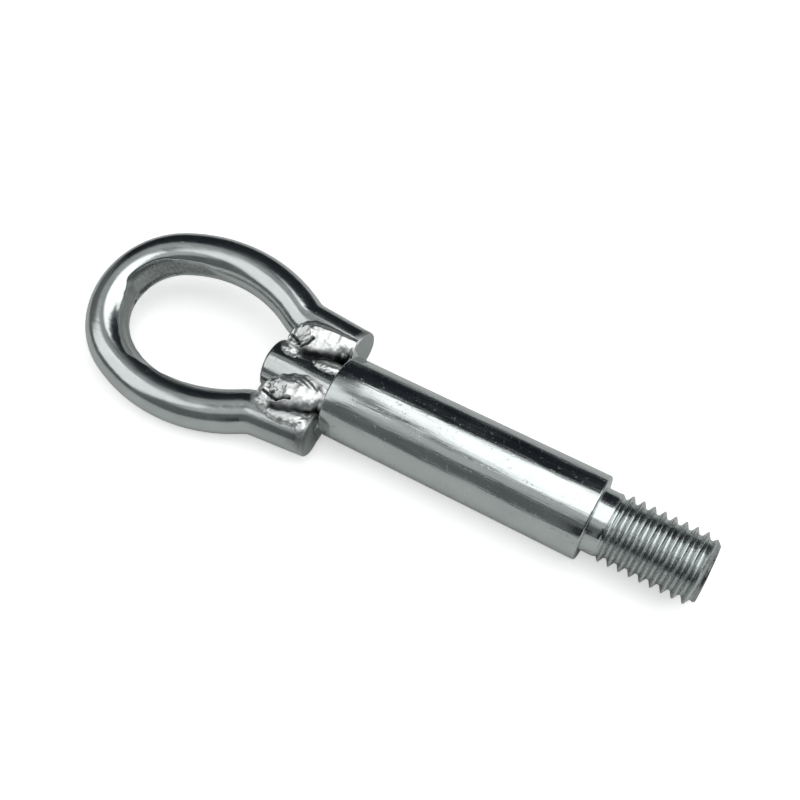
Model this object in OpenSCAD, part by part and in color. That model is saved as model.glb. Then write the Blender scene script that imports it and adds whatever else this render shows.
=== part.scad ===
// Screw-in tow eye: a bent rod loop welded on the nose of a turned shank
// The shank lies along X, with its shoulder at the origin and its thread towards +X

/* [Thread] */
// Outside diameter of the threaded stub
thread_d = 16; // [10:0.5:18]
// Length of the stub from the shoulder to its tip
thread_len = 25.5; // [15:0.5:45]
// Chamfer on the tip of the stub
thread_chamfer = 1.6; // [0.5:0.1:2.5]
// Diameter of the plain neck behind the shoulder
neck_d = 14.6; // [8:0.1:15]
// Length of the plain neck
neck_len = 3.4; // [1:0.1:8]

/* [Shank] */
// Diameter of the shank
shank_d = 19.6; // [18.5:0.1:26]
// Length of the shank from its shoulder to the face behind the nose
shank_len = 63.2; // [30:0.2:120]
// Chamfer round both ends of the shank
shank_edge = 0.6; // [0.2:0.1:1.2]
// Diameter of the nose that stands between the legs of the loop
nose_d = 12.4; // [9:0.1:16]
// Length of the nose
nose_len = 18.2; // [12:0.2:24]
// Chamfer on the end of the nose
nose_edge = 0.8; // [0.2:0.1:1.5]

/* [Loop] */
// Diameter of the loop's rod
rod_d = 10.4; // [8:0.1:12]
// Chamfer on the sawn ends of the rod
rod_edge = 0.5; // [0.2:0.1:1.5]
// Length of each straight leg
leg_len = 14; // [10:0.2:20]
// Angle by which each leg leans away from the nose
leg_lean = 4.7; // [2:0.1:9]
// Radius of the outward bend, at the middle of the rod
bend_r = 8.8; // [7:0.1:14]
// Angle between a side of the loop and the shank, just past the outward bend
splay = 28; // [22:0.5:36]
// Straight stretch between the outward bend and the side
splay_len = 1.8; // [0.5:0.1:6]
// Radius of each long side, at the middle of the rod
side_r = 38; // [32:0.5:50]
// Angle through which each long side turns
side_turn = 53; // [44:0.5:58]
// Depth of the flat that the bending pin pressed inside the end bend
end_flat = 0.9; // [0.3:0.1:1.5]

/* [Welds] */
// Radius of a weld bead at its crater
bead_r = 5.8; // [5.2:0.1:6.2]
// Radius of a weld bead where it runs out at the shank
bead_tail_r = 5.2; // [4.6:0.1:5.6]
// Height of a bead's middle line above the middle of the rod
bead_lift = 1.3; // [0.8:0.1:1.8]
// Distance of a bead's middle line from the side of the nose
bead_out = 1.5; // [1:0.1:2]
// Distance of the crater from the end of the nose
crater_inset = 6; // [5:0.1:7.5]
// Radius of the crater's rim
crater_r = 2.5; // [1.5:0.1:3]
// Depth of the crater
crater_depth = 0.7; // [0.2:0.1:1.2]
// Thickness of the crater's rim
crater_rim = 0.8; // [0.4:0.1:1.2]
// Distance between the ripples of a bead
ripple_pitch = 2; // [1.2:0.1:3]

/* [Fits] */
// Gap left between each leg and the nose, which the welds bridge
leg_gap = 0.05; // [0:0.01:0.3]
// Gap left between the rod's ends and the face of the shank
end_gap = 0.3; // [0.1:0.1:1]
// Gap left between the two beads that meet in a groove
bead_gap = 0.1; // [0.04:0.02:0.4]

/* [Hidden] */
$fn = 96;
steel = [0.76, 0.78, 0.79];
weld_steel = [0.86, 0.87, 0.88];
// A straight stretch laps this far into a bend, which is drawn a hair thinner
lap = 0.3;
hair = 0.03;
rod_r = rod_d / 2;
nose_r = nose_d / 2;

// Directions in the plane of the loop, with the angle measured outwards from the way to the loop
function out(a) = [-cos(a), sin(a)];
function across(a) = [sin(a), cos(a)];

// The middle line of the left half of the loop, from its sawn end to the end bend
leg_start = [
    -shank_len - end_gap - rod_r * sin(leg_lean),
    nose_r + leg_gap + rod_r * cos(leg_lean)
];
leg_stop = leg_start + leg_len * out(leg_lean);
bend_mid = leg_stop + bend_r * across(leg_lean);
bend_stop = bend_mid - bend_r * across(splay);
side_start = bend_stop + splay_len * out(splay);
side_mid = side_start - side_r * across(splay);
side_slope = splay - side_turn;
side_stop = side_mid + side_r * across(side_slope);
end_r = side_stop[1] / cos(side_slope);
end_mid = side_stop - end_r * across(side_slope);
end_turn = 2 * (90 + side_slope);
side_out = side_mid[1] + side_r;

// At rest the shank and the right side of the loop touch the ground
rest_roll = asin((shank_d / 2 - rod_r) / side_out);

// The middle line of a weld bead
crater_x = -shank_len - nose_len + crater_inset;
bead_y = nose_r + bead_out;
bead_len = nose_len - crater_inset;
ripples = floor(bead_len / ripple_pitch);

// A round body turned along X, with its outline given as [place along X, radius] pairs
module turned(outline) {
    rotate([0, 90, 0])
        rotate_extrude()
            polygon([for (p = outline) [p[1], p[0]]]);
}

// Moves to a point of the loop's middle line and turns X to run on along it
module along(point, slope) {
    translate([point[0], point[1], 0])
        rotate([0, 0, 180 - slope])
            children();
}

// A straight stretch of the rod, which laps into the bends at both its ends
module straight(point, slope, len) {
    along(point, slope)
        turned([[-lap, 0], [-lap, rod_r], [len + lap, rod_r], [len + lap, 0]]);
}

// A bent stretch of the rod, turned about a point from a first angle
module bend(mid, r, first, turn) {
    translate([mid[0], mid[1], 0])
        rotate([0, 0, first])
            rotate_extrude(angle = turn)
                translate([r, 0])
                    circle(r = rod_r - hair);
}

// The straight leg, with its sawn end
module leg() {
    along(leg_start, leg_lean)
        turned([
            [0, 0],
            [0, rod_r - rod_edge],
            [rod_edge, rod_r],
            [leg_len + lap, rod_r],
            [leg_len + lap, 0]
        ]);
}

// One leg, its outward bend and the long side that follows
module half_loop() {
    leg();
    bend(bend_mid, bend_r, 270 - splay, splay - leg_lean);
    straight(bend_stop, splay, splay_len);
    bend(side_mid, side_r, 90 - splay, side_turn);
    straight(side_stop, side_slope, 0);
}

// The whole rod, with the flat left by the bending pin inside the end bend
module rod() {
    difference() {
        union() {
            half_loop();
            mirror([0, 1, 0]) half_loop();
            bend(end_mid, end_r, 90 - side_slope, end_turn);
        }
        translate([end_mid[0], end_mid[1], -rod_d])
            cylinder(h = 2 * rod_d, r = end_r - rod_r + end_flat);
    }
}

// Nose, shank, plain neck and the blank of the thread, all turned from one bar
module turned_bar() {
    nose_end = -shank_len - nose_len;
    shank_r = shank_d / 2;
    neck_r = neck_d / 2;
    thread_r = thread_d / 2;
    turned([
        [nose_end, 0],
        [nose_end, nose_r - nose_edge],
        [nose_end + nose_edge, nose_r],
        [-shank_len, nose_r],
        [-shank_len, shank_r - shank_edge],
        [-shank_len + shank_edge, shank_r],
        [-shank_edge, shank_r],
        [0, shank_r - shank_edge],
        [0, neck_r],
        [neck_len, neck_r],
        [neck_len + thread_r - neck_r, thread_r],
        [thread_len - thread_chamfer, thread_r],
        [thread_len, thread_r - thread_chamfer],
        [thread_len, 0]
    ]);
}

// Ripples in a row along X, from the crater to the flat end at the shank
module ripple_row() {
    rotate([0, 90, 0])
        rotate_extrude()
            intersection() {
                for (i = [0 : ripples]) {
                    share = i / ripples;
                    translate([0, share * bead_len])
                        circle(r = bead_r + share * (bead_tail_r - bead_r));
                }
                translate([0, -bead_r])
                    square([bead_r, bead_r + bead_len]);
            }
}

// A bead with its crater, laid in the groove between the left leg and the nose
module bead() {
    rim_lift = sqrt(pow(bead_r, 2) - pow(crater_r, 2));
    dish_r = (pow(crater_r, 2) + pow(crater_depth, 2)) / (2 * crater_depth);
    difference() {
        translate([crater_x, bead_y, bead_lift])
            difference() {
                union() {
                    ripple_row();
                    translate([0, 0, rim_lift])
                        rotate_extrude()
                            translate([crater_r, 0])
                                circle(d = crater_rim, $fn = 32);
                }
                translate([0, 0, rim_lift + dish_r - crater_depth])
                    sphere(r = dish_r);
            }
        leg();
        bend(bend_mid, bend_r, 270 - splay, splay - leg_lean);
        straight(bend_stop, splay, splay_len);
        turned_bar();
        // The half of the groove that belongs to the bead on the other side
        translate([crater_x - bead_r, nose_r - bead_r, bead_gap / 2 - bead_r])
            cube([bead_len + 2 * bead_r, bead_out + 2 * bead_r, bead_r]);
    }
}

module rest() {
    rotate([rest_roll, 0, 0]) children();
}

module shank() {
    color(steel) rest() turned_bar();
}

module eye_rod() {
    color(steel) rest() rod();
}

module weld_upper_left() {
    color(weld_steel) rest() bead();
}

module weld_upper_right() {
    color(weld_steel) rest() mirror([0, 1, 0]) bead();
}

module weld_lower_left() {
    color(weld_steel) rest() mirror([0, 0, 1]) bead();
}

module weld_lower_right() {
    color(weld_steel) rest() mirror([0, 1, 0]) mirror([0, 0, 1]) bead();
}

shank();
eye_rod();
weld_upper_left();
weld_upper_right();
weld_lower_left();
weld_lower_right();
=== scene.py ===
"""A screw-in tow eye: turned shank, bent rod loop and four weld beads, zinc plated."""

import math

import bmesh
import bpy
from bpy.props import FloatProperty, FloatVectorProperty, IntProperty, PointerProperty
from mathutils import Matrix, Vector, noise


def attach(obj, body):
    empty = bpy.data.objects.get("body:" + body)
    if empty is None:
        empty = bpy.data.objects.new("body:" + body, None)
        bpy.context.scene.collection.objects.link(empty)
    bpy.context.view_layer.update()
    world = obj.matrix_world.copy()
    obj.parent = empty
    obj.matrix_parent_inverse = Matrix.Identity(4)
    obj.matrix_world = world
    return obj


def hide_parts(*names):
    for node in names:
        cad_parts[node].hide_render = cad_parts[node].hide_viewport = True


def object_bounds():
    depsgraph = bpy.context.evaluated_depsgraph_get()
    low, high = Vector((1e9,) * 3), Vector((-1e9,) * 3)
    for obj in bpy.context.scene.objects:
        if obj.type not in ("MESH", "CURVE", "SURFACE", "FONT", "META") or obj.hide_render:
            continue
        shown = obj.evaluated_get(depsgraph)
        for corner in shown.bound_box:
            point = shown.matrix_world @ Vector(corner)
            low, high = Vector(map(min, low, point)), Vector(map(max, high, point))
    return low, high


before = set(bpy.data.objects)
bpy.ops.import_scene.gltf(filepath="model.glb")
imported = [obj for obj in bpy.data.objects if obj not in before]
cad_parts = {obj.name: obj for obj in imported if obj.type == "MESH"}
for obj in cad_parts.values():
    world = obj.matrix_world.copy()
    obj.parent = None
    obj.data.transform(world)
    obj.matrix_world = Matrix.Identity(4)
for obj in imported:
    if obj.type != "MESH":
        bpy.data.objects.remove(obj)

bl_info = {
    "name": "Tow eye",
    "version": (1, 0, 0),
    "blender": (4, 5, 0),
    "location": "View3D > Sidebar > Tow eye",
    "description": "Makes a screw-in tow eye with its thread, its pressed loop and its weld beads",
    "category": "Add Mesh",
}

MM = 0.001
START_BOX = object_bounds()
LENGTHWISE = Vector((1, 0, 0))
# Vertices nearer than this are one, and a cut takes those nearer than this as on its plane
SAME_POINT = 0.002 * MM
ON_PLANE = 0.0001 * MM


class BarSizes(bpy.types.PropertyGroup):
    """Sizes of the turned bar"""

    shank_d: FloatProperty(
        name="Shank diameter", description="Diameter of the shank", default=0.0196, unit="LENGTH"
    )
    shank_len: FloatProperty(
        name="Shank length", description="From the shoulder to the face behind the nose",
        default=0.0632, unit="LENGTH",
    )
    shank_edge: FloatProperty(
        name="Shank edge", description="Round on both ends of the shank", default=0.0006, unit="LENGTH"
    )
    nose_d: FloatProperty(
        name="Nose diameter", description="Diameter of the nose", default=0.0124, unit="LENGTH"
    )
    nose_len: FloatProperty(
        name="Nose length", description="Length of the nose", default=0.0182, unit="LENGTH"
    )
    nose_edge: FloatProperty(
        name="Nose edge", description="Round on the end of the nose", default=0.0008, unit="LENGTH"
    )
    neck_d: FloatProperty(
        name="Neck diameter", description="Diameter of the plain neck", default=0.0146, unit="LENGTH"
    )
    neck_len: FloatProperty(
        name="Neck length", description="Length of the plain neck", default=0.0034, unit="LENGTH"
    )
    sides: IntProperty(name="Sides", description="Facets round the bar", default=128, min=32)


class ThreadSizes(bpy.types.PropertyGroup):
    """Sizes of the left-hand thread"""

    outside_d: FloatProperty(
        name="Outside diameter", description="Diameter over the crests", default=0.0158, unit="LENGTH"
    )
    pitch: FloatProperty(
        name="Pitch", description="Distance between two crests", default=0.00238, unit="LENGTH"
    )
    depth: FloatProperty(
        name="Depth", description="Depth of a valley below a crest", default=0.00134, unit="LENGTH"
    )
    crest: FloatProperty(
        name="Crest width", description="Width of the rolled crest", default=0.0003, unit="LENGTH"
    )
    tip_x: FloatProperty(
        name="Length", description="From the shoulder to the tip", default=0.0255, unit="LENGTH"
    )
    chamfer: FloatProperty(name="Chamfer", description="Chamfer on the tip", default=0.0016, unit="LENGTH")
    run_out: FloatProperty(
        name="Run-out", description="Length over which the thread fades into the neck",
        default=0.0012, unit="LENGTH",
    )
    first_crest: FloatProperty(
        name="First crest", description="Place of the first crest seen from above",
        default=0.0051, unit="LENGTH",
    )


class RodSizes(bpy.types.PropertyGroup):
    """Sizes of the bent rod"""

    rod_d: FloatProperty(
        name="Rod diameter", description="Diameter of the rod", default=0.0104, unit="LENGTH"
    )
    hair: FloatProperty(
        name="Hair", description="How much thinner the rod is drawn", default=0.00004, unit="LENGTH"
    )
    rod_edge: FloatProperty(
        name="Sawn edge", description="Round on the sawn ends", default=0.0005, unit="LENGTH"
    )
    leg_len: FloatProperty(
        name="Leg length", description="Length of each straight leg", default=0.014, unit="LENGTH"
    )
    leg_lean: FloatProperty(
        name="Leg lean", description="Lean of each leg away from the nose",
        default=math.radians(4.7), subtype="ANGLE",
    )
    bend_r: FloatProperty(
        name="Outward bend", description="Radius of the outward bend", default=0.0088, unit="LENGTH"
    )
    splay: FloatProperty(
        name="Splay", description="Slope of a side just past the outward bend",
        default=math.radians(28), subtype="ANGLE",
    )
    splay_len: FloatProperty(
        name="Splay length", description="Straight stretch before the side", default=0.0018, unit="LENGTH"
    )
    side_r: FloatProperty(
        name="Side radius", description="Radius of each long side", default=0.038, unit="LENGTH"
    )
    side_turn: FloatProperty(
        name="Side turn", description="Angle through which a side turns",
        default=math.radians(53), subtype="ANGLE",
    )
    leg_gap: FloatProperty(
        name="Leg gap", description="Gap between leg and nose", default=0.00005, unit="LENGTH"
    )
    end_gap: FloatProperty(
        name="End gap", description="Gap between the sawn ends and the shank", default=0.0003, unit="LENGTH"
    )
    sides: IntProperty(name="Sides", description="Facets round the rod", default=96, min=32)


class Finish(bpy.types.PropertyGroup):
    """Colours of the finish"""

    zinc: FloatVectorProperty(
        name="Zinc", description="Colour of the zinc plate",
        default=(0.592, 0.632, 0.624), subtype="COLOR", size=3,
    )
    weld: FloatVectorProperty(
        name="Weld", description="Colour of plated weld metal",
        default=(0.79, 0.81, 0.80), subtype="COLOR", size=3,
    )
    # Colour of soot on the beads and of the painted shade on their steep walls, ends and ripple valleys
    soot_and_shade: FloatVectorProperty(
        name="Soot and shade", description="Colour in pits and seams",
        default=(0.015, 0.018, 0.02), subtype="COLOR", size=3,
    )
    floor: FloatVectorProperty(
        name="Floor", description="Colour of the floor", default=(0.9, 0.9, 0.9), subtype="COLOR", size=3
    )


GROUPS = {"bar": BarSizes, "thread": ThreadSizes, "rod": RodSizes, "finish": Finish}


def sizes(name):
    """The group of sizes or colours that the user can change."""
    return getattr(bpy.context.scene, "tow_eye_" + name)


def out(angle):
    """Direction in the loop's plane, turned outwards from the way to the loop."""
    return Vector((-math.cos(angle), math.sin(angle), 0))


def across(angle):
    """Direction square to out(angle), away from the middle of the loop."""
    return Vector((math.sin(angle), math.cos(angle), 0))


class MiddleLine:
    """The middle line of the left half of the loop, as in the part's source."""

    def __init__(self):
        bar = sizes("bar")
        rod = sizes("rod")
        self.r = rod.rod_d / 2
        self.lean = rod.leg_lean
        self.splay = rod.splay
        self.slope = rod.splay - rod.side_turn
        self.leg_start = Vector((
            -bar.shank_len - rod.end_gap - self.r * math.sin(self.lean),
            bar.nose_d / 2 + rod.leg_gap + self.r * math.cos(self.lean),
            0,
        ))
        self.leg_stop = self.leg_start + rod.leg_len * out(self.lean)
        self.bend_mid = self.leg_stop + rod.bend_r * across(self.lean)
        self.bend_stop = self.bend_mid - rod.bend_r * across(self.splay)
        self.side_start = self.bend_stop + rod.splay_len * out(self.splay)
        self.side_mid = self.side_start - rod.side_r * across(self.splay)
        self.side_stop = self.side_mid + rod.side_r * across(self.slope)
        self.end_r = self.side_stop.y / math.cos(self.slope)
        self.end_mid = self.side_stop - self.end_r * across(self.slope)
        self.end_turn = 2 * (math.pi / 2 + self.slope)
        self.side_out = self.side_mid.y + rod.side_r
        self.rest_roll = math.asin((bar.shank_d / 2 - self.r) / self.side_out)


def smooth_step(low, high, value):
    """Rises smoothly from 0 at low to 1 at high."""
    t = min(1, max(0, (value - low) / (high - low)))
    return t * t * (3 - 2 * t)


def between(stations, place):
    """The values at a place, from stations of (place, value, value ...) in rising order."""
    if place <= stations[0][0]:
        return stations[0][1:]
    for low, high in zip(stations, stations[1:]):
        if place <= high[0]:
            t = smooth_step(low[0], high[0], place)
            return tuple(a + (b - a) * t for a, b in zip(low[1:], high[1:]))
    return stations[-1][1:]


def only(kind, geometry):
    """The vertices, edges or faces among what an operator made."""
    return [g for g in geometry if isinstance(g, kind)]


def loop_of(verts):
    """The edges that run between these vertices."""
    chosen = set(verts)
    return list({e for v in verts for e in v.link_edges if e.other_vert(v) in chosen})


def run_straight(bm, ring, step, times):
    """Draws a ring of vertices out along a straight line and returns the last ring."""
    for _ in range(times):
        made = bmesh.ops.extrude_edge_only(bm, edges=loop_of(ring))
        ring = only(bmesh.types.BMVert, made["geom"])
        bmesh.ops.translate(bm, verts=ring, vec=step)
    return ring


def run_round(bm, ring, centre, turn, steps):
    """Draws a ring of vertices round an upright axis and returns the last ring."""
    made = bmesh.ops.spin(
        bm, geom=ring + loop_of(ring), cent=centre, axis=(0, 0, 1), dvec=(0, 0, 0),
        angle=turn, steps=steps, use_merge=False,
    )
    return only(bmesh.types.BMVert, made["geom_last"])


def lay_at_rest(bm):
    """Rolls the part about its shank until one side of the loop touches the ground."""
    roll = Matrix.Rotation(MiddleLine().rest_roll, 3, "X")
    bmesh.ops.rotate(bm, verts=bm.verts, cent=(0, 0, 0), matrix=roll)


def finish_piece(name, bm, node, material, sharp=math.radians(35)):
    """Makes the finished mesh a piece that stands for a node of the frame."""
    bmesh.ops.remove_doubles(bm, verts=bm.verts, dist=SAME_POINT)
    bmesh.ops.dissolve_degenerate(bm, edges=bm.edges, dist=ON_PLANE)
    bmesh.ops.recalc_face_normals(bm, faces=bm.faces)
    lay_at_rest(bm)
    mesh = bpy.data.meshes.new(name)
    bm.to_mesh(mesh)
    bm.free()
    mesh.polygons.foreach_set("use_smooth", [True] * len(mesh.polygons))
    mesh.set_sharp_from_angle(angle=sharp)
    mesh.materials.append(material)
    piece = bpy.data.objects.new(name, mesh)
    bpy.context.scene.collection.objects.link(piece)
    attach(piece, "root")
    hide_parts(node)
    return piece


def mark(bm, name, rule):
    """Gives each vertex a mark from 0 to 1 that the materials read."""
    layer = bm.verts.layers.float.get(name) or bm.verts.layers.float.new(name)
    for v in bm.verts:
        v[layer] = max(v[layer], rule(v.co))


def turn_on_lathe(bm, outline, sides):
    """Spins an outline of (place, radius) pairs about the bar."""
    points = [bm.verts.new((x, 0, r)) for x, r in outline]
    lines = [bm.edges.new(pair) for pair in zip(points, points[1:])]
    bmesh.ops.spin(
        bm, geom=points + lines, cent=(0, 0, 0), axis=LENGTHWISE, dvec=(0, 0, 0),
        angle=2 * math.pi, steps=sides, use_merge=True,
    )
    bmesh.ops.remove_doubles(bm, verts=bm.verts, dist=SAME_POINT)


def rounded(corner, before, after, radius, steps=4):
    """Points of the quarter round that replaces a square corner of an outline."""
    start = Vector(corner) + (Vector(before) - Vector(corner)).normalized() * radius
    stop = Vector(corner) + (Vector(after) - Vector(corner)).normalized() * radius
    middle = start + stop - Vector(corner)
    points = []
    for i in range(steps + 1):
        a = i / steps * math.pi / 2
        points.append(tuple(middle + (start - middle) * math.cos(a) + (stop - middle) * math.sin(a)))
    return points


def thread_profile(thread):
    """One pitch of the thread's outline from valley to valley, as (place, radius) pairs."""
    top = thread.outside_d / 2
    bottom = top - thread.depth
    shoulder = top - 0.06 * MM
    half = thread.pitch / 2
    flank = math.radians(27)
    foot = half - thread.crest / 2 - thread.depth * math.tan(flank)
    hollow_len = foot * 1.35
    hollow_rise = foot * 0.9
    hollow = []
    steps = 4
    for i in range(steps + 1):
        a = i / steps * math.pi / 2
        hollow.append((hollow_len * math.sin(a), bottom + hollow_rise * (1 - math.cos(a))))
    left = [(-half + x, r) for x, r in hollow]
    left += [(-thread.crest / 2, shoulder), (-thread.crest / 4, top)]
    right = [(-x, r) for x, r in reversed(left)]
    return left + right


def cut_thread(bm, thread, neck_r, neck_len):
    """A left-hand thread, screwed from its profile, that fades into the neck and ends in the chamfer."""
    sides = 96
    turns = math.ceil(thread.tip_x / thread.pitch) + 2
    start_x = thread.first_crest + (turns - 2) * thread.pitch
    points = [bm.verts.new((start_x + x, 0, r)) for x, r in thread_profile(thread)]
    lines = [bm.edges.new(pair) for pair in zip(points, points[1:])]
    bmesh.ops.spin(
        bm, geom=points + lines, cent=(0, 0, 0), axis=LENGTHWISE, dvec=(-thread.pitch / sides, 0, 0),
        angle=2 * math.pi, steps=sides, use_merge=False,
    )
    turn = list(bm.verts) + list(bm.edges) + list(bm.faces)
    for i in range(1, turns):
        made = bmesh.ops.duplicate(bm, geom=turn)
        copy = only(bmesh.types.BMVert, made["geom"])
        bmesh.ops.translate(bm, verts=copy, vec=(-i * thread.pitch, 0, 0))
    bmesh.ops.remove_doubles(bm, verts=bm.verts, dist=4 * SAME_POINT)
    for v in bm.verts:
        radius = math.hypot(v.co.y, v.co.z)
        share = smooth_step(neck_len - thread.run_out / 2, neck_len + thread.run_out, v.co.x)
        wanted = neck_r + (radius - neck_r) * share
        cone = thread.outside_d / 2 - (v.co.x - thread.tip_x + thread.chamfer)
        wanted = min(wanted, max(cone, thread.outside_d / 2 - thread.chamfer))
        v.co.y *= wanted / radius
        v.co.z *= wanted / radius
    for place, side in ((thread.tip_x, LENGTHWISE), (neck_len / 4, -LENGTHWISE)):
        whole = list(bm.verts) + list(bm.edges) + list(bm.faces)
        bmesh.ops.bisect_plane(
            bm, geom=whole, dist=ON_PLANE, plane_co=(place, 0, 0), plane_no=side, clear_outer=True
        )
    rims = [e for e in bm.edges if e.is_boundary]
    tip = [e for e in rims if all(abs(v.co.x - thread.tip_x) < 0.01 * MM for v in e.verts)]
    bmesh.ops.edgeloop_fill(bm, edges=tip)


def valley_shade_and_dark_tip(place, thread, neck_len):
    """Painted shade that darkens the valleys of the thread, and a darker tip."""
    depth = thread.outside_d / 2 - math.hypot(place.y, place.z)
    on_thread = smooth_step(neck_len, neck_len + thread.pitch, place.x)
    valley = 0.22 * smooth_step(0.3, 1.0, depth / thread.depth) * on_thread
    tip = 0.6 * smooth_step(thread.tip_x - 1.4 * MM, thread.tip_x - 0.6 * MM, place.x)
    return max(valley, tip)


def turned_bar():
    """The bar with its thread, neck, shank and nose."""
    bar = sizes("bar")
    thread = sizes("thread")
    bm = bmesh.new()
    cut_thread(bm, thread, bar.neck_d / 2, bar.neck_len)
    shank_r = bar.shank_d / 2
    nose_r = bar.nose_d / 2
    neck_r = bar.neck_d / 2
    face_x = -bar.shank_len
    nose_x = face_x - bar.nose_len
    fillet = 0.3 * MM
    hollow = 0.3 * fillet
    stretches = 8
    outline = (
        [(nose_x, nose_r * 0.3), (nose_x, nose_r * 0.6)]
        + rounded((nose_x, nose_r), (nose_x, 0), (face_x, nose_r), bar.nose_edge)
        + [(face_x - fillet, nose_r), (face_x - hollow, nose_r + hollow), (face_x, nose_r + fillet)]
        + rounded((face_x, shank_r), (face_x, 0), (0, shank_r), bar.shank_edge)
        + [(face_x * (1 - i / stretches), shank_r) for i in range(1, stretches)]
        + rounded((0, shank_r), (face_x, shank_r), (0, 0), bar.shank_edge)
        + [(0, neck_r + fillet), (hollow, neck_r + hollow)]
    )
    body = bmesh.new()
    turn_on_lathe(body, outline, bar.sides)
    rims = [e for e in body.edges if e.is_boundary]
    nose_rim = [e for e in rims if all(v.co.x < face_x for v in e.verts)]
    bmesh.ops.edgeloop_fill(body, edges=nose_rim)
    mesh = bpy.data.meshes.new("lathe_work")
    body.to_mesh(mesh)
    body.free()
    bm.from_mesh(mesh)
    bpy.data.meshes.remove(mesh)
    rims = [e for e in bm.edges if e.is_boundary]
    bmesh.ops.bridge_loops(bm, edges=rims)
    threaded = bar.neck_len + thread.pitch
    # Scorch on the nose, painted shade in the valleys of the thread and a darker tip
    mark(bm, "scorch_and_shade", lambda place: 0.12 if place.x < face_x else valley_shade_and_dark_tip(place, thread, bar.neck_len))
    mark(bm, "dull", lambda place: 0.05 * smooth_step(bar.neck_len, threaded, place.x))
    zinc = zinc_plate("bar_zinc", roughness=0.17, lines=4.4, dings=0.8)
    return finish_piece("turned_bar", bm, "shank", zinc)


# Where the bending die pressed the inside of the loop: the turn of the loop there in degrees,
# half the height of the pressed face and how deep it is, both in millimetres
PRESSED = (
    (-109, 0.6, 0.0),
    (-103, 2.4, 0.3),
    (-94, 3.0, 0.6),
    (-84, 3.5, 0.9),
    (-77, 4.2, 1.2),
    (-71, 4.75, 1.4),
    (-60, 4.0, 1.05),
    (-45, 3.4, 0.8),
    (-16, 3.0, 0.75),
    (-4, 3.4, 0.9),
    (9, 4.5, 1.35),
    (35, 4.4, 1.3),
    (48, 4.25, 1.2),
    (61, 3.8, 1.0),
    (74, 3.4, 0.7),
    (84, 2.0, 0.2),
    (89, 0.6, 0.0),
)


def press_inside(bm, line):
    """Flattens the inside of the loop as the die did, with a crease above and a ledge below the face, and
    paints shade on the pressed face.
    """
    side_r = sizes("rod").side_r
    layer = bm.verts.layers.float.new("scorch_and_shade")
    for v in bm.verts:
        half = 1 if v.co.y >= 0 else -1
        place = Vector((v.co.x, abs(v.co.y), 0))
        from_end = place - line.end_mid
        turn = math.atan2(from_end.y, -from_end.x)
        middle, radius = line.end_mid, line.end_r
        if turn > line.end_turn / 2:
            from_side = place - line.side_mid
            turn = math.atan2(from_side.y, -from_side.x)
            middle, radius = line.side_mid, side_r
            if turn > math.pi / 2 + line.splay:
                continue
        outward = Vector((-math.cos(turn), math.sin(turn), 0))
        inward = radius - (place - middle).dot(outward)
        degrees = half * math.degrees(turn)
        height, depth = (value * MM for value in between(PRESSED, degrees))
        edge = height if v.co.z > 0 else height / 2
        if inward <= 0 or abs(v.co.z) >= edge:
            continue
        crease = math.sqrt(line.r**2 - edge**2)
        face = line.r - depth
        wall = face - (face - crease) * (v.co.z / edge) ** 2
        if wall < inward:
            shift = (inward - wall) * outward
            v.co.x += shift.x
            v.co.y += shift.y * half
            # Painted shade on the pressed face, growing with how far it was pressed and darker from 5 to 40
            # degrees of turn
            pressed_shade = 0.35 + 0.4 * smooth_step(5, 40, degrees)
            v[layer] = pressed_shade * smooth_step(0, 0.6 * MM, shift.length)


def rod_heat(place):
    """Scorch near the welds, with spatter by the sawn end of the right leg."""
    from_spatter = (place - Vector((-64.5, -14.0, 4.0)) * MM).length
    spatter = 0.8 * math.exp(-((from_spatter / (2.8 * MM)) ** 2))
    return min(1, 0.15 * smooth_step(-80 * MM, -74 * MM, place.x) + spatter)


def bent_rod():
    """The rod, drawn from one sawn end to the middle of the loop, mirrored and pressed."""
    rod = sizes("rod")
    line = MiddleLine()
    bm = bmesh.new()
    lean = Matrix.Rotation(-line.lean, 4, "Z")
    facing = Matrix.Translation(line.leg_start) @ lean @ Matrix.Rotation(math.pi / 2, 4, "Y")
    made = bmesh.ops.create_circle(
        bm, cap_ends=True, radius=line.r - rod.hair, segments=rod.sides, matrix=facing
    )
    coarse = 1
    leg_steps = 14
    splay_steps = 2
    bend_steps, side_steps, end_steps = (steps // coarse for steps in (21, 81, 54))
    ring = run_straight(bm, made["verts"], rod.leg_len / leg_steps * out(line.lean), leg_steps)
    ring = run_round(bm, ring, line.bend_mid, line.lean - line.splay, bend_steps)
    ring = run_straight(bm, ring, rod.splay_len / splay_steps * out(line.splay), splay_steps)
    ring = run_round(bm, ring, line.side_mid, rod.side_turn, side_steps)
    run_round(bm, ring, line.end_mid, line.end_turn / 2, end_steps)
    sawn = [f for f in bm.faces if len(f.verts) > 4]
    bmesh.ops.bevel(
        bm, geom=sawn[0].edges, offset=rod.rod_edge, offset_type="OFFSET", segments=4, profile=0.5,
        affect="EDGES", material=-1,
    )
    whole = list(bm.verts) + list(bm.edges) + list(bm.faces)
    bmesh.ops.mirror(bm, geom=whole, axis="Y", merge_dist=SAME_POINT)
    press_inside(bm, line)
    sawn_x = line.leg_start.x - 1.2 * MM
    mark(bm, "scorch_and_shade", rod_heat)
    mark(bm, "dull", lambda place: 0.3 if place.x > sawn_x else 0)
    zinc = zinc_plate("rod_zinc", roughness=0.18, lines=1.8, dings=0.3)
    return finish_piece("bent_rod", bm, "eye_rod", zinc)


def smooth_max(a, b, reach):
    """The larger of two heights, with a fillet between them."""
    share = max(0, reach - abs(a - b)) / reach
    return max(a, b) + share * share * reach / 4


def along_line(point, start, stop):
    """How far along a line a point lies, from 0 to 1, and its distance from the line."""
    way = stop - start
    t = min(1, max(0, (point - start).dot(way) / way.length_squared))
    return t, (point - start - t * way).length
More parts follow.
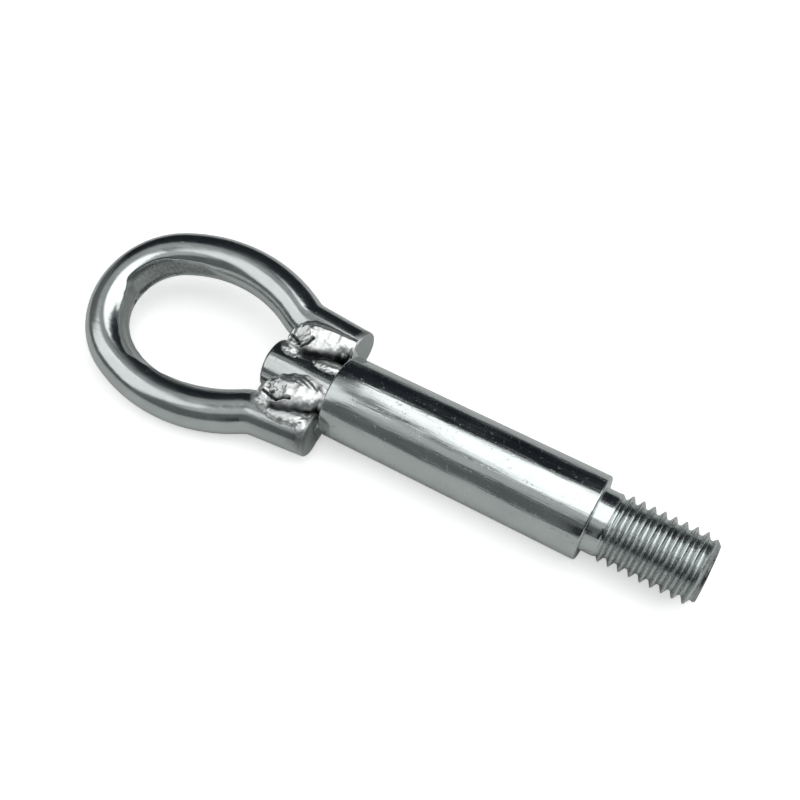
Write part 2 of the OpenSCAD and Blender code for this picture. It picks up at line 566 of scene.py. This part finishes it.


# A bead is drawn in millimetres on the part's own axes, on the left side:
# X runs to the thread and Y away from the nose
# back: stations of place, edge on the nose, line of the top, height of the top, edge on the leg
# falls: how the back falls to the nose and to the leg, as a pair of powers
# cap: place, radius, height of the rim and depth of the dish where the arc stopped
# cracks: half width, depth and the points of each crack that the cooling cap tore
# lobes: place, half length, half width, turn and thickness of the flat lobes that run out on the steel
# ripples: height and the point that they run round
# pits: how deep the cap is pitted
# stain: how dark the stains on the bead are
# shade_from: how far down the steep wall the painted shade begins, from 0 at the top line to 1 at the edge
STEEP = (2.6, 0.45)
GENTLE = (1.5, 1.1)
# The soot at the bottom of a crack and the painted shade on the steep wall, where 1 would be all the dark
# colour
DARKEST = 0.97
BEADS = {
    "narrow": {
        "back": (
            (-80.3, 6.8, 7.0, 0.5, 7.2),
            (-80.0, 6.0, 7.0, 3.8, 7.8),
            (-79.5, 4.8, 7.0, 5.4, 9.0),
            (-78.8, 3.8, 7.2, 6.4, 10.2),
            (-77.5, 3.0, 8.3, 7.1, 11.3),
            (-75.5, 2.8, 9.8, 7.3, 12.2),
            (-73.0, 3.2, 10.4, 7.15, 12.4),
            (-70.5, 4.0, 10.7, 6.8, 12.3),
            (-68.0, 5.0, 10.9, 6.4, 12.2),
            (-66.2, 6.2, 11.0, 6.1, 12.1),
            (-64.3, 7.4, 11.2, 5.75, 12.1),
            (-63.7, 7.3, 8.0, 4.8, 8.6),
            (-63.0, 7.2, 7.9, 4.6, 8.5),
        ),
        "falls": (STEEP, GENTLE),
        "cap": (-76.6, 6.8, 2.8, 0.30, 0.45),
        "cracks": (
            (0.50, 0.60, ((-78.4, 6.1), (-76.9, 5.6), (-75.6, 4.8))),
            (0.50, 0.60, ((-75.0, 4.4), (-73.9, 5.8), (-73.4, 7.4))),
        ),
        "lobes": (
            (-77.4, 3.8, 3.2, 2.4, -20, 1.4),
            (-66.9, 4.3, 4.7, 2.8, 14, 1.2),
        ),
        "ripples": (0.0, (-76.0, 3.0)),
        "pits": 0.35,
        "stain": 0.0,
        "shade_from": 0.60,
    },
    "broad": {
        "back": (
            (-79.8, 7.9, 8.0, 0.5, 8.1),
            (-79.4, 7.0, 8.0, 3.8, 8.8),
            (-79.0, 6.0, 7.7, 5.2, 9.7),
            (-78.3, 5.0, 7.2, 6.4, 10.5),
            (-77.0, 3.8, 6.3, 7.1, 11.0),
            (-75.0, 2.6, 5.5, 7.4, 11.2),
            (-72.5, 1.5, 4.9, 7.4, 11.0),
            (-70.0, 0.9, 4.5, 7.2, 10.2),
            (-68.0, 0.9, 4.2, 6.9, 9.2),
            (-66.0, 1.3, 4.0, 6.5, 8.0),
            (-64.3, 1.8, 3.8, 6.1, 6.5),
            (-63.0, 2.2, 3.6, 5.9, 5.4),
        ),
        "falls": (GENTLE, STEEP),
        "cap": (-74.8, 7.3, 3.1, 0.25, 0.45),
        "cracks": (
            (0.45, 0.60, ((-77.4, 8.5), (-75.7, 8.9), (-73.2, 9.3))),
            (0.45, 0.65, ((-73.2, 9.3), (-71.8, 8.2), (-70.7, 7.7))),
        ),
        "lobes": (
            (-76.2, 10.1, 3.9, 2.6, 4, 1.8),
            (-70.0, 10.8, 6.4, 2.8, -8, 1.05),
            (-64.6, 8.2, 1.6, 3.6, 0, 0.80),
            (-65.4, 12.0, 1.4, 1.8, 12, 0.45),
        ),
        "ripples": (0.06, (-72.0, 11.0)),
        "pits": 1.3,
        "stain": 0.35,
        "shade_from": 0.70,
    },
}


def steel_height(point, line):
    """Height of the nose and of the leg at a point of the plan, in metres."""
    bar = sizes("bar")
    rod = sizes("rod")
    nose_r = bar.nose_d / 2
    over_nose = nose_r**2 - point.y**2 if point.x > -bar.shank_len - bar.nose_len else 0
    _, from_leg = along_line(point, line.leg_start.xy, line.leg_stop.xy)
    if (point - line.leg_start.xy).dot(out(line.lean).xy) < rod.rod_edge:
        from_leg = line.r
    if point.x < line.leg_stop.x:
        from_leg = abs((point - line.bend_mid.xy).length - rod.bend_r)
    return math.sqrt(max(0, over_nose, line.r**2 - from_leg**2))


def back_height(share, base, top, fall):
    """Height of a bead's back, from its top line at share 0 to its edge at 1, and below the edge."""
    if share < 1:
        return base + (top - base) * (1 - share ** fall[0]) ** fall[1]
    return base - 3 * (share - 1)


def wall_shade(share, x, shade_from):
    """Painted shade on the steep wall of a bead, which fades out towards the cap."""
    wall = smooth_step(shade_from, shade_from + 0.28, share) * (1 - smooth_step(1.02, 1.14, share))
    return DARKEST * wall * smooth_step(-76.5, -73.5, x)


def cap_relief(away, radius, rim, dish):
    """How far the rim of the cap stands up and its dish sinks in, by the distance from its middle."""
    rim_width = 0.55
    return rim * math.exp(-(((away - radius) / rim_width) ** 2)) - dish * smooth_step(radius, 0, away)


def pitting(spot, away, radius):
    """How pitted the cap is at a spot, from 0 to 1."""
    rough = noise.noise(spot * 0.9) + 0.7 * noise.noise(spot * 2.1)
    return smooth_step(0.0, 0.5, rough) * (1 - smooth_step(0.35, 0.9, away / radius))


def crack_at(point, half_width, points, wander):
    """How far a point lies in a crack, from 0 outside it to 1 at its middle."""
    nearest = min(along_line(point, Vector(a), Vector(b))[1] for a, b in zip(points, points[1:]))
    return 1 - smooth_step(half_width * 0.2, half_width, nearest + 0.15 * wander)


def lobe_thickness(point, lobes, wander):
    """Thickness of the lobes at a point."""
    layer = 0
    for x, y, length, width, turn, thickness in lobes:
        off = Matrix.Rotation(-math.radians(turn), 2) @ (point - Vector((x, y)))
        share = min(1, math.hypot(off.x / length, off.y / width) + 0.10 * wander)
        layer = max(layer, thickness * (1 - share**3) if share < 1 else 0)
    return layer


def bead_height(point, bead, line, seed):
    """Height of a bead, height of the steel, and soot and painted shade at a point of the plan, in
    millimetres.
    """
    steel = steel_height(point * MM, line) / MM
    nose_edge, top_line, top, leg_edge = between(bead["back"], point.x)
    on_leg = point.y > top_line
    edge = leg_edge if on_leg else nose_edge
    fall = bead["falls"][1 if on_leg else 0]
    share = (point.y - top_line) / (edge - top_line)
    base = steel_height(Vector((point.x, edge)) * MM, line) / MM - 0.25
    height = back_height(share, base, top, fall)
    # Painted shade on the steep wall and at the end of the bead
    soot_and_shade = 0.85 * smooth_step(-78.8, -79.8, point.x)
    if fall is STEEP:
        soot_and_shade = max(soot_and_shade, wall_shade(share, point.x, bead["shade_from"]))
    spot = Vector((point.x, point.y, seed))
    wander = noise.noise(spot * 1.3)
    # The cap with its rim and its dish
    cap_x, cap_y, cap_r, rim, dish = bead["cap"]
    away = (point - Vector((cap_x, cap_y))).length + 0.3 * wander
    on_bead = 1 - smooth_step(0.8, 1.0, share)
    height += on_bead * cap_relief(away, cap_r, rim, dish)
    # The ripples, with painted shade in their valleys
    rise, focus = bead["ripples"]
    ripple_pitch = 1.1
    if fall is GENTLE and rise > 0:
        ripple = math.sin(2 * math.pi * (point - Vector(focus)).length / ripple_pitch)
        strength = smooth_step(0.15, 0.4, share) * on_bead
        strength *= smooth_step(cap_r + 0.6, cap_r + 1.6, away)
        height += rise * ripple * strength
        soot_and_shade = max(soot_and_shade, 0.6 * strength * smooth_step(0.1, 1.0, -ripple))
    # The pits and the stains
    pits = pitting(spot, away, cap_r) * bead["pits"]
    height -= 0.25 * pits
    stain = bead["stain"] * smooth_step(-0.15, 0.45, noise.noise(spot * 0.6))
    soot_and_shade = max(soot_and_shade, 0.75 * pits, stain)
    for half_width, depth, points in bead["cracks"]:
        cut = crack_at(point, half_width, points, wander)
        height -= depth * cut
        soot_and_shade = max(soot_and_shade, DARKEST * cut)
    height += 0.18 * noise.noise(spot * 0.4) + 0.045 * noise.noise(spot * 1.5)
    layer = lobe_thickness(point, bead["lobes"], wander)
    return smooth_max(height, steel + layer - 0.15, 0.8), steel, soot_and_shade


def weld_bead(where, side, level, bead, seed):
    """One bead in the groove between a leg and the nose. side is 1 on the left, and level is 1 above."""
    line = MiddleLine()
    bar = sizes("bar")
    left = -bar.shank_len - bar.nose_len - 1.5 * MM
    right = -bar.shank_len + 0.05 * MM
    near = 0.3 * MM
    far = 14 * MM
    foot = 0.05 * MM
    film = 0.12
    lowest = 1.7
    cell = 0.12 * MM
    bm = bmesh.new()
    soot_and_shade_layer = bm.verts.layers.float.new("soot_and_shade")
    bmesh.ops.create_grid(
        bm, x_segments=round((right - left) / cell), y_segments=round((far - near) / cell), size=0.5
    )
    bmesh.ops.scale(bm, verts=bm.verts, vec=(right - left, far - near, 1))
    bmesh.ops.translate(bm, verts=bm.verts, vec=((left + right) / 2, (near + far) / 2, 0))
    spare = []
    for v in bm.verts:
        metal, steel, soot_and_shade = bead_height(v.co.xy / MM, bead, line, seed)
        v.co.z = metal * MM
        seam = math.exp(-(((metal - steel) / film) ** 2))
        # Soot and painted shade from the bead, with a dark seam where the bead meets the steel
        v[soot_and_shade_layer] = max(soot_and_shade, 0.5 * seam)
        if metal < steel - film or metal < lowest:
            spare.append(v)
    bmesh.ops.delete(bm, geom=spare, context="VERTS")
    top = list(bm.faces)
    made = bmesh.ops.extrude_face_region(bm, geom=top, use_keep_orig=True)
    for v in only(bmesh.types.BMVert, made["geom"]):
        v.co.z = foot
    if side < 0:
        bmesh.ops.scale(bm, verts=bm.verts, vec=(1, -1, 1))
    if level < 0:
        bmesh.ops.scale(bm, verts=bm.verts, vec=(1, 1, -1))
    metal = weld_metal("bead_metal_" + where)
    return finish_piece("bead_" + where, bm, "weld_" + where, metal, math.radians(60))


def new_material(name):
    """A new material with its node tree and its Principled shader."""
    material = bpy.data.materials.new(name)
    material.use_nodes = True
    tree = material.node_tree
    shader = tree.nodes["Principled BSDF"]
    return material, tree, shader


def worn_surface():
    """Node group: drawn lines, clouds and nicks of a plated surface, and its grain and darkening where it is
    scorched or carries painted shade.
    """
    name = "worn_surface"
    if name in bpy.data.node_groups:
        return bpy.data.node_groups[name]
    group = bpy.data.node_groups.new(name, "ShaderNodeTree")
    sockets = group.interface
    for label, kind in (
        ("Place", "NodeSocketVector"), ("Colour", "NodeSocketColor"), ("Roughness", "NodeSocketFloat"),
        ("Lines", "NodeSocketFloat"), ("Dings", "NodeSocketFloat"), ("Scorch", "NodeSocketFloat"),
    ):
        sockets.new_socket(label, in_out="INPUT", socket_type=kind)
    for label, kind in (
        ("Colour", "NodeSocketColor"), ("Roughness", "NodeSocketFloat"), ("Height", "NodeSocketFloat"),
    ):
        sockets.new_socket(label, in_out="OUTPUT", socket_type=kind)
    link = group.links.new
    given = group.nodes.new("NodeGroupInput")
    made = group.nodes.new("NodeGroupOutput")

    def grain(scale, detail, place):
        """Noise at a place, from 0 to 1."""
        node = group.nodes.new("ShaderNodeTexNoise")
        node.inputs["Scale"].default_value = scale
        node.inputs["Detail"].default_value = detail
        link(place, node.inputs["Vector"])
        return node.outputs["Fac"]

    def spread(value, low, high, to_low, to_high):
        """A value moved from one range to another."""
        node = group.nodes.new("ShaderNodeMapRange")
        for label, number in (("From Min", low), ("From Max", high), ("To Min", to_low), ("To Max", to_high)):
            node.inputs[label].default_value = number
        link(value, node.inputs["Value"])
        return node.outputs["Result"]

    def turned_place(scale, turn=0.0):
        """The place on the piece, turned about Z and scaled."""
        node = group.nodes.new("ShaderNodeMapping")
        node.inputs["Rotation"].default_value = (0, 0, turn)
        node.inputs["Scale"].default_value = scale
        link(given.outputs["Place"], node.inputs["Vector"])
        return node.outputs["Vector"]

    def combine(operation, first, second):
        """The outcome of an operation on two values, each a socket or a number."""
        node = group.nodes.new("ShaderNodeMath")
        node.operation = operation
        for socket, value in zip(node.inputs, (first, second)):
            if isinstance(value, float):
                socket.default_value = value
            else:
                link(value, socket)
        return node.outputs[0]

    place = given.outputs["Place"]
    lines = grain(1, 4, turned_place((90, 1300, 1300)))
    waves = grain(1, 2, turned_place((50, 260, 260)))
    nicks = spread(grain(1, 3, turned_place((500, 1500, 1500), math.radians(12))), 0.63, 0.76, 0, 1)
    scuffs = combine("MULTIPLY", spread(grain(1100, 5, place), 0.62, 0.72, 0, 1), given.outputs["Dings"])
    cloud = grain(180, 4, place)
    spots = grain(1500, 4, place)
    scorch_and_shade = combine("MULTIPLY", spread(spots, 0.38, 0.64, 0, 1), given.outputs["Scorch"])
    rough = combine("ADD", given.outputs["Roughness"], spread(cloud, 0, 1, -0.06, 0.06))
    rough = combine("ADD", rough, combine("MULTIPLY", scorch_and_shade, 0.2))
    streak = combine("MULTIPLY", combine("SUBTRACT", lines, 0.5), given.outputs["Lines"])
    rough = combine("ADD", rough, combine("MULTIPLY", streak, 0.08))
    rough = combine("ADD", rough, combine("MULTIPLY", scuffs, 0.3))
    link(rough, made.inputs["Roughness"])
    # Mottled and darker where the mesh marks scorch or painted shade
    tone = combine("MULTIPLY", spread(cloud, 0, 1, 0.86, 1.1), spread(scorch_and_shade, 0, 1, 1, 0.65))
    tone = combine("MULTIPLY", tone, spread(given.outputs["Scorch"], 0, 1, 1, 0.45))
    shade = group.nodes.new("ShaderNodeVectorMath")
    shade.operation = "SCALE"
    link(given.outputs["Colour"], shade.inputs[0])
    link(tone, shade.inputs["Scale"])
    link(shade.outputs[0], made.inputs["Colour"])
    raised = combine("MULTIPLY", lines, given.outputs["Lines"])
    raised = combine("ADD", raised, combine("MULTIPLY", waves, 3.0))
    sunk = combine("MULTIPLY", nicks, given.outputs["Dings"])
    height = combine("SUBTRACT", combine("SUBTRACT", raised, sunk), combine("MULTIPLY", scorch_and_shade, 0.2))
    link(height, made.inputs["Height"])
    return group


def plated(name, colour, roughness, lines, dings, depth):
    """A plated metal, scorched or darkened by painted shade and dulled where the mesh marks it, with its
    bumps given a depth.
    """
    material, tree, shader = new_material(name)
    place = tree.nodes.new("ShaderNodeTexCoord")
    scorch_and_shade = tree.nodes.new("ShaderNodeAttribute")
    scorch_and_shade.attribute_name = "scorch_and_shade"
    dull = tree.nodes.new("ShaderNodeAttribute")
    dull.attribute_name = "dull"
    rough = tree.nodes.new("ShaderNodeMath")
    rough.operation = "ADD"
    rough.inputs[1].default_value = roughness
    worn = tree.nodes.new("ShaderNodeGroup")
    worn.node_tree = worn_surface()
    worn.inputs["Colour"].default_value = (*colour, 1)
    worn.inputs["Lines"].default_value = lines
    worn.inputs["Dings"].default_value = dings
    bump = tree.nodes.new("ShaderNodeBump")
    bump.inputs["Distance"].default_value = depth
    tree.links.new(place.outputs["Object"], worn.inputs["Place"])
    tree.links.new(scorch_and_shade.outputs["Fac"], worn.inputs["Scorch"])
    tree.links.new(dull.outputs["Fac"], rough.inputs[0])
    tree.links.new(rough.outputs[0], worn.inputs["Roughness"])
    tree.links.new(worn.outputs["Colour"], shader.inputs["Base Color"])
    tree.links.new(worn.outputs["Roughness"], shader.inputs["Roughness"])
    tree.links.new(worn.outputs["Height"], bump.inputs["Height"])
    tree.links.new(bump.outputs["Normal"], shader.inputs["Normal"])
    shader.inputs["Metallic"].default_value = 1
    return material


def zinc_plate(name, roughness, lines, dings):
    """Bright zinc on smooth steel."""
    return plated(name, sizes("finish").zinc, roughness, lines, dings, depth=0.01 * MM)


def weld_metal(name):
    """Plated weld metal, with soot and painted shade where the mesh marks it."""
    colour = sizes("finish").weld
    material = plated(name, colour, roughness=0.38, lines=0.1, dings=0.6, depth=0.03 * MM)
    tree = material.node_tree
    shader = tree.nodes["Principled BSDF"]
    soot_and_shade = tree.nodes.new("ShaderNodeAttribute")
    soot_and_shade.attribute_name = "soot_and_shade"
    mix = tree.nodes.new("ShaderNodeMix")
    mix.data_type = "RGBA"
    mix.inputs["B"].default_value = (*sizes("finish").soot_and_shade, 1)
    clean = shader.inputs["Base Color"].links[0].from_socket
    tree.links.new(soot_and_shade.outputs["Fac"], mix.inputs["Factor"])
    tree.links.new(clean, mix.inputs["A"])
    tree.links.new(mix.outputs["Result"], shader.inputs["Base Color"])
    return material


def dark_card_material():
    """The matt black of the cards that the part reflects as its dark bands."""
    material, _, shader = new_material("dark_card")
    shader.inputs["Base Color"].default_value = (0.035, 0.04, 0.05, 1)
    shader.inputs["Roughness"].default_value = 0.9
    shader.inputs["Specular IOR Level"].default_value = 0
    return material


def card(name, place, size, material, facing):
    """A flat card on the stage, turned to face a point."""
    bm = bmesh.new()
    bmesh.ops.create_grid(bm, x_segments=1, y_segments=1, size=0.5)
    bmesh.ops.scale(bm, verts=bm.verts, vec=(size[0], size[1], 1))
    mesh = bpy.data.meshes.new(name)
    bm.to_mesh(mesh)
    bm.free()
    mesh.materials.append(material)
    thing = bpy.data.objects.new(name, mesh)
    bpy.context.scene.collection.objects.link(thing)
    way = Vector(facing) - Vector(place)
    thing.location = place
    thing.rotation_mode = "QUATERNION"
    thing.rotation_quaternion = way.to_track_quat("Z", "Y")
    return thing


# The camera of the photograph, from a fit to the outline of the part
CAMERA_PLACE = Vector((15.34, -114.76, 197.80)) * MM
CAMERA_TURN = (math.radians(34.7874), math.radians(-0.7532), math.radians(29.815))
CAMERA_LENS = 47.53


def make_camera():
    """The camera, looking down on the part as in the photograph."""
    data = bpy.data.cameras.new("camera")
    data.lens = CAMERA_LENS
    data.sensor_width = 36
    data.clip_start = 0.01
    data.clip_end = 20
    camera = bpy.data.objects.new("camera", data)
    camera.location = CAMERA_PLACE
    camera.rotation_euler = CAMERA_TURN
    bpy.context.scene.collection.objects.link(camera)
    bpy.context.scene.camera = camera


def soft_light(name, place, aim, size, power):
    """A soft lamp at a place, turned to its aim and unseen by the camera."""
    data = bpy.data.lights.new(name, "AREA")
    data.shape = "RECTANGLE"
    data.size, data.size_y = size
    data.energy = power
    light = bpy.data.objects.new(name, data)
    light.location = place
    light.rotation_euler = (Vector(aim) - Vector(place)).to_track_quat("-Z", "Y").to_euler()
    light.visible_camera = False
    bpy.context.scene.collection.objects.link(light)
    return light


def make_world():
    """A grey room that the camera sees as white."""
    world = bpy.data.worlds.new("studio")
    bpy.context.scene.world = world
    world.use_nodes = True
    tree = world.node_tree
    back = tree.nodes["Background"]
    back.inputs["Color"].default_value = (0.135, 0.14, 0.145, 1)
    back.inputs["Strength"].default_value = 1
    white = tree.nodes.new("ShaderNodeBackground")
    white.inputs["Color"].default_value = (1, 1, 1, 1)
    seen = tree.nodes.new("ShaderNodeLightPath")
    mix = tree.nodes.new("ShaderNodeMixShader")
    tree.links.new(seen.outputs["Is Camera Ray"], mix.inputs[0])
    tree.links.new(back.outputs[0], mix.inputs[1])
    tree.links.new(white.outputs[0], mix.inputs[2])
    tree.links.new(mix.outputs[0], tree.nodes["World Output"].inputs[0])


def floor_material():
    """A pale floor that looks lighter to the camera than in the part's reflections."""
    material, tree, shader = new_material("pale_floor")
    shader.inputs["Base Color"].default_value = (*sizes("finish").floor, 1)
    shader.inputs["Roughness"].default_value = 1
    shader.inputs["Specular IOR Level"].default_value = 0
    shader.inputs["Emission Color"].default_value = (1, 1, 1, 1)
    shader.inputs["Emission Strength"].default_value = 0.52
    plain = tree.nodes.new("ShaderNodeBsdfDiffuse")
    plain.inputs["Color"].default_value = (0.65, 0.66, 0.65, 1)
    seen = tree.nodes.new("ShaderNodeLightPath")
    mix = tree.nodes.new("ShaderNodeMixShader")
    tree.links.new(seen.outputs["Is Camera Ray"], mix.inputs[0])
    tree.links.new(plain.outputs[0], mix.inputs[1])
    tree.links.new(shader.outputs[0], mix.inputs[2])
    tree.links.new(mix.outputs[0], tree.nodes["Material Output"].inputs["Surface"])
    return material


def make_stage():
    """Sets the floor, the dark cards, the lamps, the room and the camera."""
    scene = bpy.context.scene
    scene.view_settings.view_transform = "Standard"
    card("floor", (0, 0, START_BOX[0].z), (3, 3), floor_material(), (0, 0, 1))
    dark = dark_card_material()
    middle = Vector((-0.08, 0, 0))
    # The dark far side of the room, and the dark below the camera
    for name, way, size in (
        ("dark_far_side", (-0.33, 0.60, 0.44), (1.5, 0.82)),
        ("dark_near_side", (0.42, -0.42, 0.12), (0.9, 0.30)),
    ):
        flag = card(name, middle + Vector(way), size, dark, middle)
        flag.visible_camera = False
        flag.visible_diffuse = False
        flag.visible_shadow = False
    overhead = soft_light("overhead", middle + Vector((0.60, 0.14, 0.9)), (0.52, 0.14, 0), (1.7, 0.94), 8.2)
    overhead.rotation_euler.z = math.radians(14)
    for name, way, size, power in (
        ("far_right", (0.86, 0.66, 0.66), (0.55, 0.42), 0.9),
        ("far_left", (-0.62, -0.43, 0.62), (0.62, 0.78), 1.55),
        ("top_left", (-0.52, -0.02, 0.85), (0.4, 0.7), 0.2),
        ("near_side", (0.25, -0.77, 1.0), (1.6, 0.5), 1.0),
    ):
        soft_light(name, middle + Vector(way), middle, size, power)
    make_world()
    make_camera()


class TOWEYE_OT_bar(bpy.types.Operator):
    """Turns the shank with its nose, neck and left-hand thread"""

    bl_idname = "tow_eye.bar"
    bl_label = "Turned bar"

    def execute(self, context):
        turned_bar()
        return {"FINISHED"}


class TOWEYE_OT_rod(bpy.types.Operator):
    """Bends the rod of the loop and presses its inside"""

    bl_idname = "tow_eye.rod"
    bl_label = "Bent rod"

    def execute(self, context):
        bent_rod()
        return {"FINISHED"}


class TOWEYE_OT_welds(bpy.types.Operator):
    """Lays the weld beads between the legs and the nose"""

    bl_idname = "tow_eye.welds"
    bl_label = "Weld beads"

    def execute(self, context):
        weld_bead("upper_left", 1, 1, BEADS["narrow"], 3)
        weld_bead("upper_right", -1, 1, BEADS["broad"], 11)
        weld_bead("lower_left", 1, -1, BEADS["broad"], 19)
        weld_bead("lower_right", -1, -1, BEADS["narrow"], 27)
        return {"FINISHED"}


class TOWEYE_OT_stage(bpy.types.Operator):
    """Sets the floor, the lights and the camera"""

    bl_idname = "tow_eye.stage"
    bl_label = "Stage"

    def execute(self, context):
        make_stage()
        return {"FINISHED"}


OPERATORS = (TOWEYE_OT_bar, TOWEYE_OT_rod, TOWEYE_OT_welds, TOWEYE_OT_stage)


class TOWEYE_PT_panel(bpy.types.Panel):
    """Lists the steps that make the tow eye"""

    bl_idname = "TOWEYE_PT_panel"
    bl_label = "Tow eye"
    bl_space_type = "VIEW_3D"
    bl_region_type = "UI"
    bl_category = "Tow eye"

    def draw(self, context):
        for step in OPERATORS:
            self.layout.operator(step.bl_idname)
        for group in GROUPS:
            values = sizes(group)
            box = self.layout.box()
            for name in values.__annotations__:
                box.prop(values, name)


def register():
    for kind in (*GROUPS.values(), *OPERATORS, TOWEYE_PT_panel):
        bpy.utils.register_class(kind)
    for name, kind in GROUPS.items():
        setattr(bpy.types.Scene, "tow_eye_" + name, PointerProperty(type=kind))


def unregister():
    for name in GROUPS:
        delattr(bpy.types.Scene, "tow_eye_" + name)
    for kind in reversed((*GROUPS.values(), *OPERATORS, TOWEYE_PT_panel)):
        bpy.utils.unregister_class(kind)


def main():
    """Makes the part and its stage."""
    register()
    bpy.ops.tow_eye.bar()
    bpy.ops.tow_eye.rod()
    bpy.ops.tow_eye.welds()
    bpy.ops.tow_eye.stage()


if __name__ == "__main__":
    main()
